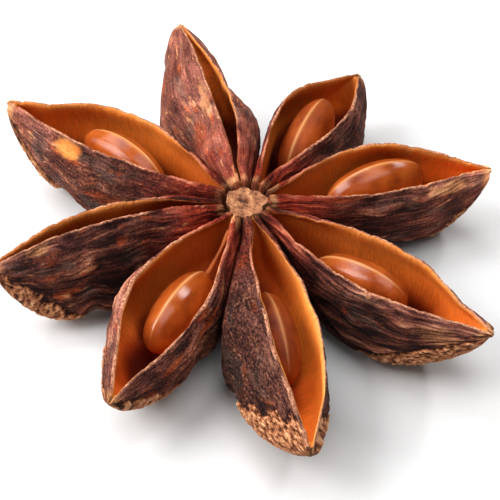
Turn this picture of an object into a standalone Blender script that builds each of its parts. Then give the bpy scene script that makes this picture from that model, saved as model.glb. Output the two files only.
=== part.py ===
"""Star anise pod: eight boat-shaped carpels round a fibrous core, six of them holding a seed."""
import math

import bmesh
import bpy
import numpy as np
from mathutils import Matrix, Vector

MM = 0.001

# The pod. Lengths are in millimetres and angles in degrees. A place along a carpel is a share of
# its length, 0 beside the core and 1 at the tip; a place down its wall is 0 at the rim, 1 at the keel.
RIM_HEIGHT = 7.0          # from the floor to the plane of the rims
GAP = 0.3                 # clearance between neighbouring pieces
CORE_RADIUS = 1.4
CORE_TOP = 0.15           # below the plane of the rims
CORE_DEPTH = 5.2
CORE_STEPS = 32
FLUTES = 8                # one groove for each carpel
FLUTE_DEPTH = 0.2
INNER_END = CORE_RADIUS + GAP

# A carpel's cross-section
RIM_WALL = 0.3
WALL = 0.4
KEEL_WALL = 0.8
NECK_HALF_WIDTH = 0.5     # half the width over the rims beside the core
TIP_HALF_WIDTH = 0.2
TIP_DEPTH = 0.4
RIM_POINT = 2.75          # how pointed the rim's outline is
BULGE_AT = 0.66           # where the wall stands out furthest beyond its rim
BULGE_POINT = 0.9
SIDE_SHARE = 0.4          # the share of the wall that curves out before it turns under to the keel
SIDE_DROP = 0.45          # the share of the depth that this takes
TURN = 2.4                # roundness of that turn
LEAN_FULL_AT = 0.55       # where a leaning carpel leans in full
SLOT_HALF_WIDTH = 0.05    # least half width of the opening
SLOT_DEPTH = 0.12         # depth of the opening where it fades out at both ends
FADE_IN = 0.08
FADE_OUT = 0.07
FADE_END = 0.985

# A carpel's keel
ROOT_DEPTH = 0.66         # depth beside the core, as a share of the full depth
DEEP_AT = 0.58
CHIN_CURVE = 0.8
LOBE_LENGTH = 0.09        # of the hump on the keel
NOTCH_BEYOND = 0.16       # from that hump to the dent before the chin
NOTCH_LENGTH = 0.05
NOTCH_DEPTH = 0.7         # as a share of the hump's height

# Mesh resolution
STATIONS = 18
WALL_STEPS = 7
CAVITY_STEPS = 5
SEED_SIDES = 16
SEED_BANDS = 10

HUSK = ("husk", (0.16, 0.07, 0.05, 1.0), 0.75)
SEED = ("seed", (0.42, 0.16, 0.03, 1.0), 0.22)
CORE = ("core", (0.50, 0.30, 0.16, 1.0), 0.85)

# Each carpel: the way it points, its length from the axis, how far its tip stands above the plane of
# the rims, how high its rim arches, how far it curves to its left, half the width of its opening,
# how much wider its left half is, how far its wall bulges, how far it leans, where it is widest, its
# depth, how blunt its chin is, and the height and place of the hump on its keel.
CARPELS = [
    dict(heading=150, length=19.3, rise=0.3, arch=0.7, curve=0.4, gape=1.9, skew=-0.4, bulge=1.0,
         lean=-3, widest=0.52, depth=7.1, chin=4.0, lobe=1.0, lobe_at=0.55),
    dict(heading=102, length=18.8, rise=0.0, arch=0.8, curve=1.0, gape=0.5, skew=-0.4, bulge=1.4,
         lean=19, widest=0.55, depth=6.9, chin=1.9, lobe=0.7, lobe_at=0.42),
    dict(heading=58.5, length=16.7, rise=-1.7, arch=0.8, curve=0.4, gape=2.1, skew=0.3, bulge=1.0,
         lean=2, widest=0.57, depth=7.1, chin=3.2, lobe=0.5, lobe_at=0.42),
    dict(heading=13.5, length=17.3, rise=-0.8, arch=0.5, curve=-0.4, gape=1.9, skew=0.5, bulge=1.0,
         lean=9, widest=0.49, depth=7.0, chin=3.2, lobe=0.6, lobe_at=0.40),
    dict(heading=-37.5, length=19.1, rise=0.0, arch=0.1, curve=0.2, gape=1.9, skew=0.3, bulge=1.0,
         lean=3, widest=0.52, depth=7.3, chin=1.6, lobe=0.3, lobe_at=0.40),
    dict(heading=-77, length=20.0, rise=-1.0, arch=0.4, curve=-0.6, gape=1.7, skew=0.7, bulge=1.0,
         lean=-22, widest=0.55, depth=6.7, chin=1.2, lobe=1.1, lobe_at=0.46),
    dict(heading=240, length=17.9, rise=-1.0, arch=0.5, curve=0.9, gape=2.05, skew=-0.1, bulge=1.0,
         lean=-11, widest=0.51, depth=6.4, chin=1.9, lobe=1.2, lobe_at=0.42),
    dict(heading=196, length=17.4, rise=-0.6, arch=1.3, curve=0.7, gape=0.65, skew=-0.5, bulge=1.3,
         lean=9, widest=0.56, depth=7.5, chin=2.3, lobe=1.0, lobe_at=0.45),
]

# Each seed: the number of its carpel, where its middle lies along it, how far that is below the
# rim, how far it lies to the left, its turn to the left, how far its outer end is tipped up, and
# its roll.
SEEDS = [
    dict(carpel=1, at=0.47, sunk=2.8, aside=-0.15, turn=-8, tip=12, roll=12),
    dict(carpel=3, at=0.50, sunk=2.7, aside=0.35, turn=6, tip=12, roll=-3),
    dict(carpel=4, at=0.49, sunk=2.1, aside=0.5, turn=6, tip=9, roll=-5),
    dict(carpel=5, at=0.44, sunk=2.65, aside=0.1, turn=3, tip=14, roll=1),
    dict(carpel=6, at=0.46, sunk=2.8, aside=-0.35, turn=1, tip=5, roll=-8),
    dict(carpel=7, at=0.45, sunk=2.7, aside=0.05, turn=0, tip=10, roll=2),
]
SEED_LENGTH = 7.3
SEED_WIDTH = 3.1
SEED_HEIGHT = 4.5
SEED_RIDGE = 0.1


def clear_scene():
    """Remove every object."""
    for obj in list(bpy.data.objects):
        bpy.data.objects.remove(obj, do_unlink=True)


def make_material(name, colour, roughness):
    """A plain Principled material."""
    material = bpy.data.materials.new(name)
    material.use_nodes = True
    shader = material.node_tree.nodes["Principled BSDF"]
    shader.inputs["Base Color"].default_value = colour
    shader.inputs["Roughness"].default_value = roughness
    material.diffuse_color = colour
    return material


def add_object(name, mesh, material, collection):
    """Turn a bmesh into a smooth-shaded object."""
    bmesh.ops.triangulate(mesh, faces=mesh.faces)
    data = bpy.data.meshes.new(name)
    mesh.to_mesh(data)
    mesh.free()
    data.materials.append(material)
    data.shade_smooth()
    obj = bpy.data.objects.new(name, data)
    collection.objects.link(obj)
    return obj


def loft(name, rings, material, collection):
    """A closed solid through rings of equal length, capped at both ends."""
    mesh = bmesh.new()
    rows = [[mesh.verts.new(Vector(point) * MM) for point in ring] for ring in rings]
    count = len(rows[0])
    for row, following in zip(rows, rows[1:]):
        for k in range(count):
            mesh.faces.new((row[k], row[(k + 1) % count], following[(k + 1) % count], following[k]))
    mesh.faces.new(rows[0])
    mesh.faces.new(rows[-1])
    bmesh.ops.recalc_face_normals(mesh, faces=mesh.faces)
    return add_object(name, mesh, material, collection)


def hump(s, peak, point):
    """A curve over 0..1 that is 0 at both ends and 1 at its peak."""
    s = min(max(s, 1e-6), 1 - 1e-6)
    return (s / peak) ** (point * peak) * ((1 - s) / (1 - peak)) ** (point * (1 - peak))


def bump(s, at, length):
    """A bell curve of height 1."""
    return math.exp(-((s - at) / length) ** 2)


def ease(x):
    """A smooth step from 0 to 1."""
    x = min(max(x, 0), 1)
    return x * x * (3 - 2 * x)


def limited(x, limit):
    """x, held below its limit with a smooth turn."""
    return x / (1 + (np.abs(x) / limit) ** 6) ** (1 / 6)


def outward(heading):
    """The level unit vector that points along a heading."""
    angle = math.radians(heading)
    return np.array((math.cos(angle), math.sin(angle), 0))


def centre_line(carpel, s):
    """Radius, shift to the left and height above the rims' plane of the middle of the opening."""
    radius = INNER_END + (carpel["length"] - INNER_END) * s
    aside = carpel["curve"] * s ** 2
    height = carpel["rise"] * s ** 1.6 + carpel["arch"] * 4 * s * (1 - s)
    return radius, aside, height


def rim_half_width(carpel, s, side):
    """From the middle of the opening to the outer edge of its rim; side is 1 for the left."""
    gape = (carpel["gape"] + side * carpel["skew"]) * hump(s, carpel["widest"], RIM_POINT)
    return NECK_HALF_WIDTH * (1 - s) + gape + TIP_HALF_WIDTH * s ** 6


def keel_depth(carpel, s):
    """Depth of the carpel below its rim, with the hump and the dent on its keel."""
    growth = ROOT_DEPTH + (1 - ROOT_DEPTH) * math.sin(math.pi / 2 * min(s / DEEP_AT, 1))
    beyond = max((s - DEEP_AT) / (1 - DEEP_AT), 0)
    chin = (1 - beyond ** carpel["chin"]) ** CHIN_CURVE
    lobe = bump(s, carpel["lobe_at"], LOBE_LENGTH)
    notch = NOTCH_DEPTH * bump(s, carpel["lobe_at"] + NOTCH_BEYOND, NOTCH_LENGTH)
    return carpel["depth"] * growth * chin + carpel["lobe"] * (lobe - notch) + TIP_DEPTH * s ** 6


def wall_curve(steps, rim, belly, depth):
    """Half a cross-section from rim to keel: distances out and heights."""
    down = np.linspace(0, 1, steps + 1)
    side = np.clip(down / SIDE_SHARE, 0, 1)
    under = np.clip((down - SIDE_SHARE) / (1 - SIDE_SHARE), 0, 1) * math.pi / 2
    out = np.where(down < SIDE_SHARE, rim + (belly - rim) * np.sin(math.pi / 2 * side),
                   belly * np.abs(np.cos(under)) ** (2 / TURN))
    drop = np.where(down < SIDE_SHARE, SIDE_DROP * side,
                    SIDE_DROP + (1 - SIDE_DROP) * np.sin(under) ** (2 / TURN))
    out[-1] = 0
    return out, -depth * drop


def sector_limits(carpel, s, steps_beside):
    """How far the carpel may reach to its left and right before it meets its neighbours."""
    radius, aside, _ = centre_line(carpel, s)
    left, right = (math.radians(step) / 2 for step in steps_beside)
    return (radius * math.tan(left) - aside - GAP / 2 / math.cos(left),
            radius * math.tan(right) + aside - GAP / 2 / math.cos(right))


def half_section(carpel, s, side, steps, insets, depth, limits):
    """One side of a cross-section from rim to keel, leaning and kept inside its sector."""
    rim = rim_half_width(carpel, s, side)
    belly = rim + carpel["bulge"] * hump(s, BULGE_AT, BULGE_POINT)
    rim = max(rim - insets[0], SLOT_HALF_WIDTH)
    belly = max(belly - insets[1], SLOT_HALF_WIDTH)
    out, up = wall_curve(steps, rim, belly, depth)
    lean = math.radians(carpel["lean"]) * ease(s / LEAN_FULL_AT)
    across = side * out * math.cos(lean) - up * math.sin(lean)
    height = side * out * math.sin(lean) + up * math.cos(lean)
    left, right = (max(limit - insets[1], SLOT_HALF_WIDTH) for limit in limits)
    return np.column_stack((limited(across, np.where(across > 0, left, right)), height))


def cross_section(carpel, s, steps_beside):
    """The closed ring round the husk at one station, as (across, up) pairs."""
    depth = keel_depth(carpel, s)
    fade = ease(s / FADE_IN) * ease((FADE_END - s) / FADE_OUT)
    cavity_depth = max((depth - KEEL_WALL) * fade, SLOT_DEPTH)
    limits = sector_limits(carpel, s, steps_beside)
    outer_left, outer_right = (half_section(carpel, s, side, WALL_STEPS, (0, 0), depth, limits)
                               for side in (1, -1))
    inner_left, inner_right = (half_section(carpel, s, side, CAVITY_STEPS, (RIM_WALL, WALL),
                                            cavity_depth, limits) for side in (1, -1))
    return np.concatenate((outer_left, outer_right[-2::-1], inner_right, inner_left[-2::-1]))


def carpel_rings(carpel, steps_beside):
    """The husk's cross-sections from the core to the tip, none of them below the floor."""
    rings = []
    for k in range(STATIONS + 1):
        s = 0.5 - 0.5 * math.cos(math.pi * k / STATIONS)
        radius, aside, height = centre_line(carpel, s)
        section = cross_section(carpel, s, steps_beside)
        points = (radius * outward(carpel["heading"])
                  + np.outer(aside + section[:, 0], outward(carpel["heading"] + 90)))
        points[:, 2] = np.maximum(RIM_HEIGHT + height + section[:, 1], 0)
        rings.append(points)
    return rings


def make_carpels(material, collection):
    """The eight husks, each in its own sector."""
    order = sorted(range(len(CARPELS)), key=lambda k: CARPELS[k]["heading"] % 360)
    for place, k in enumerate(order):
        here = CARPELS[k]["heading"]
        after = CARPELS[order[(place + 1) % len(order)]]["heading"]
        before = CARPELS[order[place - 1]]["heading"]
        steps_beside = ((after - here) % 360, (here - before) % 360)
        loft(f"carpel_{k + 1}", carpel_rings(CARPELS[k], steps_beside), material, collection)


def make_core(material, collection):
    """The fluted column between the carpels, rounded off at its foot above the floor."""
    profile = ((0.0, 0.88), (0.08, 1.0), (0.6, 1.0), (0.85, 0.9), (0.97, 0.7), (1.0, 0.45))
    rings = []
    for down, width in profile:
        ring = []
        for k in range(CORE_STEPS):
            angle = 2 * math.pi * k / CORE_STEPS
            flute = FLUTE_DEPTH * (0.5 + 0.5 * math.cos(FLUTES * angle))
            radius = (CORE_RADIUS - flute) * width
            height = RIM_HEIGHT - CORE_TOP - CORE_DEPTH * down
            ring.append((radius * math.cos(angle), radius * math.sin(angle), height))
        rings.append(ring)
    loft("columella", rings, material, collection)


def make_seeds(material, collection):
    """Smooth flattened seeds, each with a fine ridge along its upper edge."""
    for seed in SEEDS:
        carpel = CARPELS[seed["carpel"] - 1]
        radius, aside, height = centre_line(carpel, seed["at"])
        middle = (radius * outward(carpel["heading"])
                  + (aside + seed["aside"]) * outward(carpel["heading"] + 90))
        middle[2] = RIM_HEIGHT + height - seed["sunk"]
        mesh = bmesh.new()
        bmesh.ops.create_uvsphere(mesh, u_segments=SEED_SIDES, v_segments=SEED_BANDS, radius=1,
                                  matrix=Matrix.Rotation(math.pi / 2, 4, "Y"))
        for vert in mesh.verts:
            x, y, z = vert.co
            ridge = SEED_RIDGE * (1 - x * x) if z > 0 and abs(y) < 0.01 else 0
            vert.co = (x * SEED_LENGTH / 2, y * SEED_WIDTH / 2, z * SEED_HEIGHT / 2 + ridge)
        turn = Matrix.Rotation(math.radians(carpel["heading"] + seed["turn"]), 4, "Z")
        tip = Matrix.Rotation(-math.radians(seed["tip"]), 4, "Y")
        roll = Matrix.Rotation(math.radians(seed["roll"]), 4, "X")
        place = Matrix.Scale(MM, 4) @ Matrix.Translation(Vector(middle)) @ turn @ tip @ roll
        bmesh.ops.transform(mesh, matrix=place, verts=mesh.verts)
        add_object(f"seed_{seed['carpel']}", mesh, material, collection)


def centre_on_origin(collection):
    """Hang every piece from one empty on the pod's axis, so that its footprint is centred."""
    corners = np.array([corner for obj in collection.objects for corner in obj.bound_box])
    axis = bpy.data.objects.new("pod_axis", None)
    axis.location = -(corners.min(axis=0) + corners.max(axis=0)) / 2
    axis.location.z = 0
    for obj in list(collection.objects):
        obj.parent = axis
    collection.objects.link(axis)


def main():
    clear_scene()
    collection = bpy.data.collections.new("star_anise_pod")
    bpy.context.scene.collection.children.link(collection)
    make_carpels(make_material(*HUSK), collection)
    make_core(make_material(*CORE), collection)
    make_seeds(make_material(*SEED), collection)
    centre_on_origin(collection)


main()
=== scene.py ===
"""Star anise pod: fibrous husks with smooth linings, glossy seeds and a dry core, on a pale floor."""
import math

import bpy
import numpy as np
from mathutils import Matrix, Vector


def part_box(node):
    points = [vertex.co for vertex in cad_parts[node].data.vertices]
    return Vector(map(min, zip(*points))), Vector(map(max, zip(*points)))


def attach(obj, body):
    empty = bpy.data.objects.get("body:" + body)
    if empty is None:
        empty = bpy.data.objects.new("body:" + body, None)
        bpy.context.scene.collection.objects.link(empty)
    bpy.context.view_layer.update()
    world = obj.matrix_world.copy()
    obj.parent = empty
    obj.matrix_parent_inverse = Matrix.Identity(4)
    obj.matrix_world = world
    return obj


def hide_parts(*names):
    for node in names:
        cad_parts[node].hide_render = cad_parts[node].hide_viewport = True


MM = 0.001
BODY = "root"

# The pod's driving dimensions, as in the solids. Lengths are in millimetres, angles in degrees. A place
# along a carpel is a share of its length; "below" is the distance down the wall from the rim.
RIM_HEIGHT = 7.0
CORE_RADIUS = 1.4
INNER_END = 1.7
CORE_DEPTH = 5.2
RIM_WALL = 0.14           # worn thinner than the solid's
WALL = 0.4
THICK_BELOW = 0.35        # how fast the wall thickens below its rim
KEEL_WALL = 0.8
NECK_HALF_WIDTH = 0.5
TIP_HALF_WIDTH = 0.2
TIP_DEPTH = 0.4
RIM_POINT = 2.75
BULGE_AT = 0.66
BULGE_POINT = 0.9
SIDE_SHARE = 0.4
SIDE_DROP = 0.45
TURN = 2.4
LEAN_FULL_AT = 0.55
SLOT_HALF_WIDTH = 0.05
SLOT_DEPTH = 0.12
FADE_IN = 0.08
FADE_OUT = 0.07
FADE_END = 0.985
ROOT_DEPTH = 0.66
DEEP_AT = 0.58
CHIN_CURVE = 0.8
LOBE_LENGTH = 0.09
NOTCH_BEYOND = 0.16
NOTCH_LENGTH = 0.05
NOTCH_DEPTH = 0.7
LIP_WALL = 0.46           # thickness of the lips beside the core, where the opening is all but shut
PRESS_FADE = 0.2
PRESS_SHARE = 1.25        # of the room beside a husk that a pressed wall would fill
PINCH_LENGTH = 0.11       # of the stretch where a rim draws in before the tip

# What the solids leave out: the husks meet beside the core, and their ends are rounded off.
CREASE = 0.06             # between neighbouring husks
END_REACH = 0.36          # how far a husk's inner end reaches towards the core
BEAK_REACH = 0.2          # and its tip outwards

CARPELS = [
    dict(heading=150, length=19.3, rise=0.3, arch=0.7, curve=0.4, gape=1.9, skew=-0.4, bulge=(1.0, 1.0),
         lean=-3, widest=0.52, depth=7.1, chin=4.0, lobe=1.0, lobe_at=0.55,
         pinch=(0.0, 0.3), lips=0.2, press=(0.34, 0.34), worn=(0.0, 0.0)),
    dict(heading=102, length=18.8, rise=0.0, arch=0.8, curve=1.0, gape=0.62, skew=-0.52, bulge=(1.7, 1.7),
         bulge_point=2.1, lean=22, widest=0.55, depth=6.9, chin=1.2, chin_curve=1.3, lobe=1.0, lobe_at=0.6,
         pinch=(0.1, 0.25), lips=0.55, press=(0.34, 0.6), worn=(0.0, 0.0)),
    dict(heading=58.5, length=16.7, rise=-1.7, arch=0.8, curve=0.4, gape=2.1, skew=0.3, bulge=(1.0, 1.0),
         lean=2, widest=0.57, depth=7.1, chin=3.2, lobe=0.5, lobe_at=0.42,
         pinch=(0.25, 0.1), lips=0.2, press=(0.6, 0.34), worn=(0.0, 0.0)),
    dict(heading=13.5, length=17.3, rise=-0.8, arch=0.5, curve=-0.4, gape=1.9, skew=0.5, bulge=(1.0, 1.0),
         lean=9, widest=0.49, depth=7.0, chin=3.2, lobe=0.6, lobe_at=0.40,
         pinch=(0.0, 0.1), lips=0.18, press=(0.34, 0.34), worn=(0.0, 0.0)),
    dict(heading=-37.5, length=19.1, rise=0.0, arch=0.1, curve=0.2, gape=1.9, skew=0.3, bulge=(1.0, 1.0),
         lean=3, widest=0.52, depth=7.3, chin=1.6, lobe=0.3, lobe_at=0.40,
         pinch=(0.15, 0.15), lips=0.18, press=(0.34, 0.34), worn=(0.0, 0.0)),
    dict(heading=-77, length=20.0, rise=-1.0, arch=0.4, curve=-0.6, gape=1.7, skew=0.7, bulge=(1.0, 1.0),
         lean=-22, widest=0.55, depth=6.7, chin=1.2, lobe=1.2, lobe_at=0.43,
         pinch=(0.0, 0.0), lips=0.2, press=(0.34, 0.57), worn=(0.0, 0.18)),
    dict(heading=240, length=17.9, rise=-1.0, arch=0.5, curve=0.9, gape=2.175, skew=-0.225, bulge=(1.0, 0.72),
         lean=-11, widest=0.51, depth=6.4, chin=1.9, lobe=1.2, lobe_at=0.42,
         pinch=(0.05, 0.1), lips=0.2, press=(0.52, 0.34), worn=(0.0, 0.1)),
    dict(heading=196, length=17.4, rise=-0.6, arch=1.3, curve=0.7, gape=0.65, skew=-0.5, bulge=(1.3, 1.3),
         lean=9, widest=0.56, depth=7.5, chin=2.3, lobe=1.0, lobe_at=0.45,
         pinch=(0.0, 0.0), lips=0.5, press=(0.34, 0.34), worn=(0.0, 0.0)),
]
# Each seed's last value darkens it as painted shade, most for the seeds that lie deepest in shadow.
SEEDS = [
    dict(carpel=1, at=0.47, sunk=2.8, aside=-0.15, turn=-8, tip=12, roll=12, tone_and_shade=0.80),
    dict(carpel=3, at=0.50, sunk=2.7, aside=0.35, turn=6, tip=12, roll=-3, tone_and_shade=0.66),
    dict(carpel=4, at=0.49, sunk=2.1, aside=0.5, turn=6, tip=9, roll=-5, tone_and_shade=0.7),
    dict(carpel=5, at=0.44, sunk=2.65, aside=0.1, turn=3, tip=14, roll=1, tone_and_shade=0.7),
    dict(carpel=6, at=0.46, sunk=2.8, aside=-0.35, turn=1, tip=5, roll=-8, tone_and_shade=0.52),
    dict(carpel=7, at=0.45, sunk=2.7, aside=0.05, turn=0, tip=10, roll=2, tone_and_shade=0.74),
]
DULL_SEEDS = (3, 6)
STALK_CARPEL = 7          # the one carpel whose seed's stalk can be seen
STALK_START = (5.7, 0.2, 4.7)   # out from the axis, to the left, and up
STALK_STOP = (2.6, 0.25, 6.4)
SEED_LENGTH = 7.3
SEED_WIDTH = 3.1
SEED_HEIGHT = 4.5

# The surface of each husk: how strong its wrinkles, fibres and lumps are and how grainy it is, how much of
# it is greyed, rusty or tan, how strong and how wide the flush under its rim is, how much painted shade
# darkens its wall lower down, how red it is beside the core, how light it is there and at the tip (partly
# its own tone, partly painted light and shade), how much painted light brightens its lining and how far down
# painted shade darkens the lining, and where the torn skin of its chin starts: a share of the length and the
# distance below the rim there, and how fast the edge of the tear rises towards the tip.
SURFACES = [
    dict(wrinkle=0.5, fibre=0.5, lump=1.2, grain=0.8, grey=0.9, rust=0.4, tan=0.3, flush=0.7, flush_width=1.2,
         low_shade=0.0, neck=1.0, tone_and_shade=(0.50, 1.38), lining_light_and_shade=1.22, lining_shade_depth=3.7, tear=(0.9, 2.4, 0.9)),
    dict(wrinkle=0.35, fibre=0.2, lump=1.0, grain=0.3, grey=0.7, rust=0.5, tan=0.6, flush=0.5, flush_width=3.0,
         low_shade=0.0, neck=0.45, tone_and_shade=(1.15, 1.50), lining_light_and_shade=1.1, lining_shade_depth=3.0, tear=(0.96, 2.0, 0.5)),
    dict(wrinkle=0.6, fibre=0.8, lump=1.0, grain=0.5, grey=0.5, rust=0.4, tan=0.2, flush=0.5, flush_width=1.0,
         low_shade=0.2, neck=0.9, tone_and_shade=(0.86, 0.90), lining_light_and_shade=0.9, lining_shade_depth=3.2, tear=(0.95, 1.5, 0.8)),
    dict(wrinkle=0.6, fibre=0.9, lump=0.8, grain=0.3, grey=0.5, rust=0.2, tan=0.2, flush=0.6, flush_width=1.0,
         low_shade=0.6, neck=1.0, tone_and_shade=(0.70, 2.30), lining_light_and_shade=1.28, lining_shade_depth=3.7, tear=(0.9, 3.0, 0.8)),
    dict(wrinkle=0.6, fibre=1.4, lump=0.7, grain=0.3, grey=0.4, rust=0.3, tan=0.2, flush=0.8, flush_width=0.9,
         low_shade=0.4, neck=0.85, tone_and_shade=(0.60, 0.95), lining_light_and_shade=1.12, lining_shade_depth=4.1, tear=(0.7, 4.1, 1.3)),
    dict(wrinkle=0.4, fibre=0.3, lump=0.6, grain=1.6, grey=0.8, rust=0.3, tan=0.3, flush=1.0, flush_width=1.6,
         low_shade=0.1, neck=0.8, tone_and_shade=(0.37, 0.42), lining_light_and_shade=1.36, lining_shade_depth=3.9, tear=(0.76, 2.6, 0.9)),
    dict(wrinkle=0.8, fibre=0.6, lump=0.8, grain=0.8, grey=0.35, rust=0.6, tan=0.4, flush=0.6, flush_width=1.1,
         low_shade=0.3, neck=0.85, tone_and_shade=(1.3, 1.02), lining_light_and_shade=1.0, lining_shade_depth=4.8, tear=(0.86, 1.9, 1.3)),
    dict(wrinkle=1.1, fibre=0.8, lump=1.0, grain=0.4, grey=0.5, rust=0.5, tan=0.4, flush=0.6, flush_width=1.0,
         low_shade=0.3, neck=1.0, tone_and_shade=(0.72, 0.82), lining_light_and_shade=0.98, lining_shade_depth=2.4, tear=(0.83, 3.5, 0.75)),
]

# Single stains, bald spots, pale ends and spots of painted shade. Each lies on the left (1) or right (-1) wall
# of its husk, at a share of the length and a distance below the rim; long and wide are half its size along the
# husk and down the wall, and strong is how much it shows.
PATCHES = [
    dict(carpel=1, side=1, at=0.65, below=0.8, long=1.1, wide=0.75, kind="bald", strong=1.0),
    dict(carpel=1, side=1, at=0.63, below=1.6, long=0.6, wide=0.35, kind="rust", strong=0.8),
    dict(carpel=1, side=1, at=0.46, below=1.2, long=0.8, wide=0.9, kind="grey", strong=0.9),
    dict(carpel=1, side=1, at=0.42, below=3.7, long=2.6, wide=0.5, kind="rust", strong=0.8),
    dict(carpel=2, side=1, at=0.46, below=0.5, long=1.8, wide=0.45, kind="tan", strong=0.55),
    dict(carpel=2, side=1, at=0.32, below=1.9, long=1.2, wide=0.8, kind="rust", strong=0.5),
    dict(carpel=2, side=-1, at=0.16, below=1.5, long=0.9, wide=0.7, kind="grey", strong=0.8),
    dict(carpel=4, side=-1, at=0.28, below=0.25, long=1.6, wide=0.3, kind="rust", strong=0.8),
    dict(carpel=4, side=-1, at=0.79, below=0.7, long=1.8, wide=0.5, kind="tan", strong=0.8),
    dict(carpel=5, side=-1, at=0.83, below=1.3, long=1.6, wide=0.7, kind="tan", strong=0.35),
    dict(carpel=6, side=-1, at=0.2, below=0.6, long=1.0, wide=0.5, kind="rust", strong=1.0),
    dict(carpel=6, side=-1, at=0.55, below=3.8, long=1.4, wide=0.8, kind="grey", strong=0.8),
    dict(carpel=6, side=1, at=0.12, below=0.4, long=0.8, wide=0.4, kind="rust", strong=0.7),
    # Painted shade low on this wall near the tip.
    dict(carpel=6, side=-1, at=0.79, below=2.0, long=0.9, wide=0.45, kind="painted_shade", strong=1.0),
    # Pale tan at the lips' ends beside the core: broken fibre, made paler still as painted light where the
    # rounded ends turn from the lamps.
    dict(carpel=2, side=1, at=0.01, below=0.3, long=0.45, wide=0.8, kind="tan", strong=1.0),
    dict(carpel=4, side=1, at=0.02, below=0.2, long=0.5, wide=0.5, kind="tan", strong=1.0),
    dict(carpel=4, side=-1, at=0.0, below=0.4, long=0.4, wide=0.7, kind="tan", strong=1.0),
    dict(carpel=5, side=1, at=0.0, below=0.3, long=0.3, wide=0.4, kind="tan", strong=0.9),
    dict(carpel=7, side=1, at=0.02, below=0.3, long=0.6, wide=0.6, kind="tan", strong=1.0),
    dict(carpel=8, side=1, at=0.01, below=0.3, long=0.4, wide=0.5, kind="tan", strong=0.9),
    dict(carpel=8, side=-1, at=0.0, below=0.3, long=0.35, wide=0.4, kind="tan", strong=0.7),
    dict(carpel=1, side=-1, at=0.0, below=0.3, long=0.4, wide=0.5, kind="tan", strong=0.8),
    dict(carpel=3, side=1, at=0.0, below=0.3, long=0.35, wide=0.5, kind="tan", strong=0.7),
    dict(carpel=3, side=-1, at=0.0, below=0.2, long=0.4, wide=0.4, kind="tan", strong=0.7),
    dict(carpel=7, side=1, at=0.72, below=1.4, long=1.0, wide=0.35, kind="rust", strong=0.9),
    dict(carpel=7, side=1, at=0.48, below=1.3, long=1.3, wide=0.4, kind="rust", strong=0.9),
    dict(carpel=7, side=1, at=0.33, below=0.9, long=0.7, wide=0.3, kind="tan", strong=0.5),
    dict(carpel=8, side=1, at=0.81, below=0.35, long=0.8, wide=0.35, kind="tan", strong=0.7),
    dict(carpel=8, side=1, at=0.45, below=1.5, long=0.4, wide=0.35, kind="rust", strong=1.0),
    dict(carpel=8, side=1, at=0.61, below=2.8, long=0.7, wide=0.15, kind="tan", strong=0.7),
    dict(carpel=8, side=1, at=0.72, below=4.1, long=1.2, wide=0.4, kind="rust", strong=0.9),
    # Painted shade low on the wall, where it curves under towards the floor.
    dict(carpel=8, side=1, at=0.5, below=4.6, long=1.6, wide=1.6, kind="painted_shade", strong=0.9),
]

# Mesh resolution
STATIONS = 165
WALL_STEPS = 118
CAVITY_STEPS = 30
EDGE_STEPS = 5
CAP_RINGS = 5
CURVE_STEPS = 160
SEED_SIDES = 64
SEED_BANDS = 84
CORE_SIDES = 160
CORE_RINGS = 110


# ---------------------------------------------------------------- noise

def gradients(seed, size=64):
    """A square table of unit gradients."""
    angle = np.random.default_rng(seed).random((size, size)) * 2 * math.pi
    return np.cos(angle), np.sin(angle)


def noise(x, y, seed):
    """Smooth noise over the plane, about -1 to 1, with a cell to each unit."""
    x, y = np.broadcast_arrays(x, y)
    along, across = gradients(seed)
    size = len(along)
    column, row = np.floor(x).astype(int), np.floor(y).astype(int)
    u, v = x - column, y - row
    ease_u, ease_v = u ** 3 * (u * (u * 6 - 15) + 10), v ** 3 * (v * (v * 6 - 15) + 10)
    total = 0
    for i in (0, 1):
        for j in (0, 1):
            place = (column + i) % size, (row + j) % size
            slope = along[place] * (u - i) + across[place] * (v - j)
            total = total + slope * (ease_u if i else 1 - ease_u) * (ease_v if j else 1 - ease_v)
    return total * 1.6


def fractal(x, y, seed, octaves=3, gain=0.5):
    """Noise with finer noise on it."""
    total, height = 0, 1
    for octave in range(octaves):
        total = total + height * noise(x * 2 ** octave, y * 2 ** octave, seed + 31 * octave)
        height *= gain
    return total


def ridged(x, y, seed):
    """Noise with narrow crests, 0 to 1."""
    return 1 - np.minimum(np.abs(noise(x, y, seed)) * 2, 1)


# ---------------------------------------------------------------- shape of a carpel

def hump(s, peak, point):
    """A curve over 0..1 that is 0 at both ends and 1 at its peak."""
    s = np.clip(s, 1e-6, 1 - 1e-6)
    return (s / peak) ** (point * peak) * ((1 - s) / (1 - peak)) ** (point * (1 - peak))


def bump(x, at, length):
    """A bell curve of height 1."""
    return np.exp(-((x - at) / length) ** 2)


def ease(x):
    """A smooth step from 0 to 1."""
    x = np.clip(x, 0, 1)
    return x * x * (3 - 2 * x)


def limited(x, limit):
    """x, held below its limit with a smooth turn."""
    return x / (1 + (np.abs(x) / limit) ** 6) ** (1 / 6)


def outward(heading):
    """The level unit vector that points along a heading."""
    angle = math.radians(heading)
    return np.array((math.cos(angle), math.sin(angle), 0))


def centre_line(carpel, s):
    """Radius, shift to the left and height above the rims' plane of the middle of the opening."""
    radius = INNER_END + (carpel["length"] - INNER_END) * s
    aside = carpel["curve"] * s ** 2
    height = carpel["rise"] * s ** 1.6 + carpel["arch"] * 4 * s * (1 - s)
    return radius, aside, height


def rim_half_width(carpel, s, side):
    """From the middle of the opening to the outer edge of its rim; side is 1 for the left."""
    gape = (carpel["gape"] + side * carpel["skew"]) * hump(s, carpel["widest"], RIM_POINT)
    gape = gape * (1 - carpel["pinch"][side < 0] * bump(s, 0.86, PINCH_LENGTH))
    return NECK_HALF_WIDTH * (1 - s) + gape + TIP_HALF_WIDTH * s ** 6


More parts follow.
